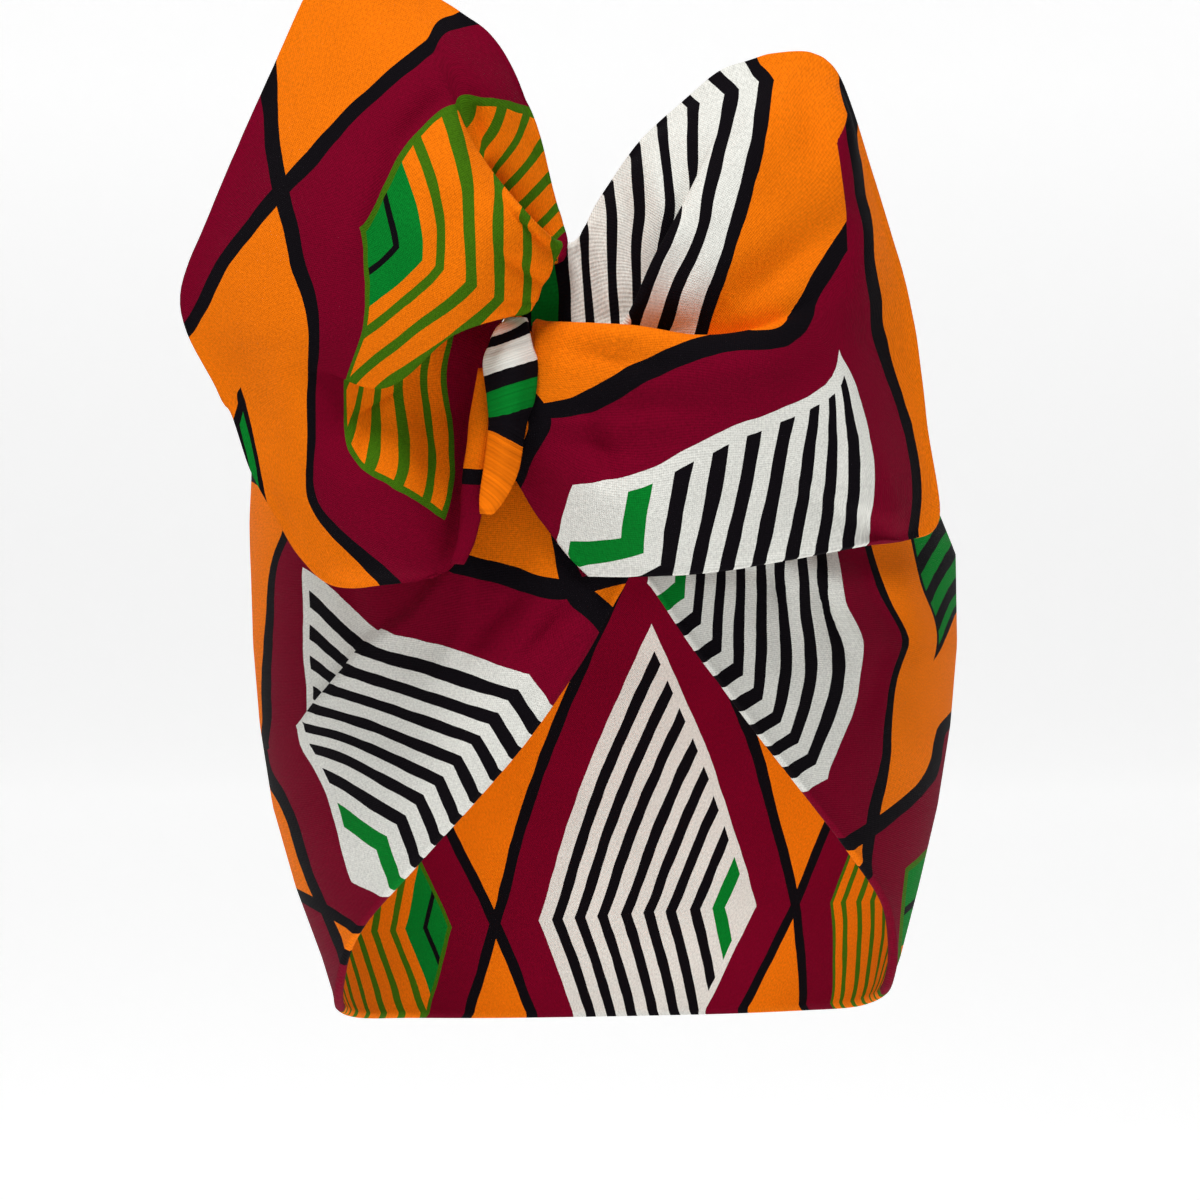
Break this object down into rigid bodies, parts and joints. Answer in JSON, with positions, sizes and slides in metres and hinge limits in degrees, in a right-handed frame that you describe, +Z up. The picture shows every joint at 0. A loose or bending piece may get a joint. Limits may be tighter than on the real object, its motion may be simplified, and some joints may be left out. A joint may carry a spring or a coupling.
{
  "type": "wired head wrap",
  "caption": "Printed cotton head wrap: a band round the head with its hems in a V, a front knot and big standing wired ears.",
  "frame": {"origin": "middle of the hollow for the head, just below the point of the V over the forehead; the wrap is held there as a head holds it", "axes": "+Z up, -Y to the front of the head where the knot is, +X to the viewer's right"},
  "size_m": [0.1842, 0.2358, 0.274],
  "materials": {
    "wax_print": "plain weave cotton, wax printed in orange, maroon, white, black and green"
  },
  "bodies": {
    "root": {"head_band": "wax_print", "ear_left": "wax_print", "ear_right": "wax_print", "knot_strap": "wax_print", "knot_fold": "wax_print"}
  },
  "joints": []
}
